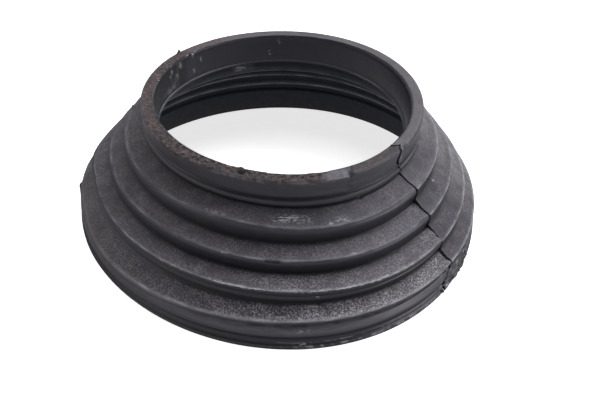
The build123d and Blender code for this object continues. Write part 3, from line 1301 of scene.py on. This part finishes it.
# %% Roughness
roughness = remap(mask_value("grainy"), 0.0, 1.0, 0.38, 0.55)
roughness = calculate("ADD", roughness, remap(speckle, 0.3, 0.7, -0.06, 0.08))
for operation, finish, amount in (
    ("ADD", "dusty", 0.35), ("ADD", "dull_and_painted_shade", 0.30),
    ("SUBTRACT", "grease_and_painted_shade", 0.04), ("SUBTRACT", "wear_and_painted_highlight", 0.12),
):
    share = calculate("MULTIPLY", mask_value(finish), amount)
    roughness = calculate(operation, roughness, share)
connect(remap(roughness, 0.0, 1.0), shader.inputs["Roughness"])
print("nodes with the gloss:", len(nodes))

# %% [markdown]
# ** Grain.** The matt treads are really a fine relief, too fine for the mesh. A bump node tilts
# the surface without moving it. It is strong on grain, faint elsewhere, and it fades out under
# the grease and painted shade.

# %% Fine grain
grain_depth = 0.30
grain = calculate("SUBTRACT", noise(0.9, 4.0, 0.65), 0.5)
grain = calculate("MULTIPLY", grain, remap(mask_value("grainy"), 0.0, 1.0, 0.06, 1.0))
grain = calculate("MULTIPLY", grain, remap(mask_value("grease_and_painted_shade"), 0.0, 0.8, 1.0, 0.0))
grain_bump = nodes.new("ShaderNodeBump")
grain_bump.inputs["Strength"].default_value = 1.0
grain_bump.inputs["Distance"].default_value = grain_depth * MM
connect(grain, grain_bump.inputs["Height"])
connect(grain_bump.outputs["Normal"], shader.inputs["Normal"])
shader.inputs["Specular Tint"].default_value = (0.95, 0.93, 1.0, 1)
rubber_mesh.materials.append(rubber)
print("nodes in the rubber:", len(nodes))

# %% [markdown]
# ## Floor, light and camera
#
# The boot stands on a white light table, a sheet that glows a little, so that shadows on it
# stay faint. The table is kept out of the boot's reflections and blocks no light. What the
# boot sees below it is set by the room alone, in the next step.

# %% White light table
reach = 3.0
floor_corners = [(-reach, -reach, 0), (reach, -reach, 0), (reach, reach, 0), (-reach, reach, 0)]
floor_mesh = bpy.data.meshes.new("floor")
floor_mesh.from_pydata(floor_corners, [], [(0, 1, 2, 3)])
floor = bpy.data.objects.new("floor", floor_mesh)
floor.visible_diffuse = False
floor.visible_glossy = False
floor.visible_shadow = False
bpy.context.scene.collection.objects.link(floor)
floor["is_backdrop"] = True

table = bpy.data.materials.new("white_light_table")
table.use_nodes = True
table_settings = {
    "Base Color": (0.92, 0.92, 0.92, 1),
    "Roughness": 0.9,
    "Specular IOR Level": 0.0,
    "Emission Color": (1, 1, 1, 1),
    "Emission Strength": 0.75,
}
for socket, setting in table_settings.items():
    table.node_tree.nodes["Principled BSDF"].inputs[socket].default_value = setting
floor_mesh.materials.append(table)
print(f"light table: {2 * reach:.0f} m wide")

# %% [markdown]
# Black gloss is lit by what it mirrors, so the room matters more than the lamps. The treads
# face up and mirror what is above and behind the boot: two soft lights there draw each fold.
# The walls and the undersides of the crests mirror what is low down in front. So the room
# glows below, as over a white table, has a bright band at the horizon, which puts a line
# along each rounding, and is dark above, which keeps the creases black.
#
# A colour ramp can hold that, from straight down at its left end to straight up at its right.

# %% Room
world = bpy.data.worlds.new("studio")
bpy.context.scene.world = world
world.use_nodes = True
world_nodes, world_connect = world.node_tree.nodes, world.node_tree.links.new
split = world_nodes.new("ShaderNodeSeparateXYZ")
world_connect(world_nodes.new("ShaderNodeTexCoord").outputs["Generated"], split.inputs["Vector"])
upwards_share = world_nodes.new("ShaderNodeMapRange")
upwards_share.inputs["From Min"].default_value = -1
world_connect(split.outputs["Z"], upwards_share.inputs["Value"])
glow = world_nodes.new("ShaderNodeValToRGB")
world_connect(upwards_share.outputs["Result"], glow.inputs["Fac"])
world_connect(glow.outputs["Color"], world_nodes["Background"].inputs["Color"])
print("nodes in the room:", len(world_nodes))

# %% [markdown]
# The stops are given by elevation in degrees. A new ramp already has its two end stops, so
# only the ones between them are added.

# %% Glow of the room
room_glow = (
    # elevation, brightness
    (-90, 0.06), (-58, 0.15), (-35, 0.80), (-10, 0.60),
    (6, 0.95), (17, 0.85), (35, 0.05), (90, 0.02),
)
stops = glow.color_ramp.elements
for elevation, brightness in room_glow:
    place = (sin(radians(elevation)) + 1) / 2
    stop = stops[0] if elevation == -90 else stops[-1] if elevation == 90 else stops.new(place)
    stop.position = place
    stop.color = (brightness, 0.98 * brightness, brightness, 1)
print("stops in the glow:", len(stops))

# %% [markdown]
# The lamps are soft lights a metre away. Each is given by its direction, its size and its
# brightness as seen from the boot, so a light can be made larger and still look as bright.

# %% Soft lights
def softbox(name, azimuth, elevation, size, brightness):
    """A square light a metre away. Its azimuth is in degrees from the back, towards the right."""
    lamp = bpy.data.lights.new(name, "AREA")
    lamp.size = size * MM
    lamp.energy = brightness * pi * (size * MM) ** 2
    lamp.color = (0.99, 0.97, 1.0)
    light = bpy.data.objects.new(name, lamp)
    turn, tilt = radians(azimuth), radians(elevation)
    towards = Vector((sin(turn) * cos(tilt), cos(turn) * cos(tilt), sin(tilt)))
    light.location = towards + Vector((0, 0, 20 * MM))
    light.rotation_euler = towards.to_track_quat("Z", "Y").to_euler()
    light.visible_camera = False
    bpy.context.scene.collection.objects.link(light)


soft_lights = (
    # name, azimuth, elevation, size in mm, brightness
    ("right back", 45, 58, 560, 7.2),
    ("left back", -45, 58, 560, 2.1),
    ("top", 10, 80, 600, 3.4),
    ("right", 105, 12, 650, 3.2),
    ("left", 255, 12, 600, 1.4),
    ("low back", 30, 2, 600, 1.0),
)
for settings in soft_lights:
    softbox(*settings)
print("soft lights:", len(soft_lights))

# %% [markdown]
# The camera looks down at the boot from the front, and is turned a few degrees about its own
# axis, as when it is held in the hand.

# %% Camera
camera_place = Vector((0, -240.5, 194.3))
camera_aim = Vector((5.4, 0, 1.4))
camera_roll = radians(3.13)
lens = bpy.data.cameras.new("camera")
lens.sensor_width = 36
lens.lens = 60.26
camera = bpy.data.objects.new("camera", lens)

forwards = (camera_aim - camera_place).normalized()
level_right = forwards.cross(Vector((0, 0, 1))).normalized()
level_up = level_right.cross(forwards)
right = level_right * cos(camera_roll) + level_up * sin(camera_roll)
up = right.cross(forwards)
turned = Matrix((right, up, -forwards)).transposed().to_4x4()
camera.matrix_world = Matrix.Translation(camera_place * MM) @ turned
bpy.context.scene.collection.objects.link(camera)
bpy.context.scene.camera = camera
bpy.context.scene.view_settings.view_transform = "Standard"
print(f"camera: {(camera_aim - camera_place).length:.0f} mm from where it aims")
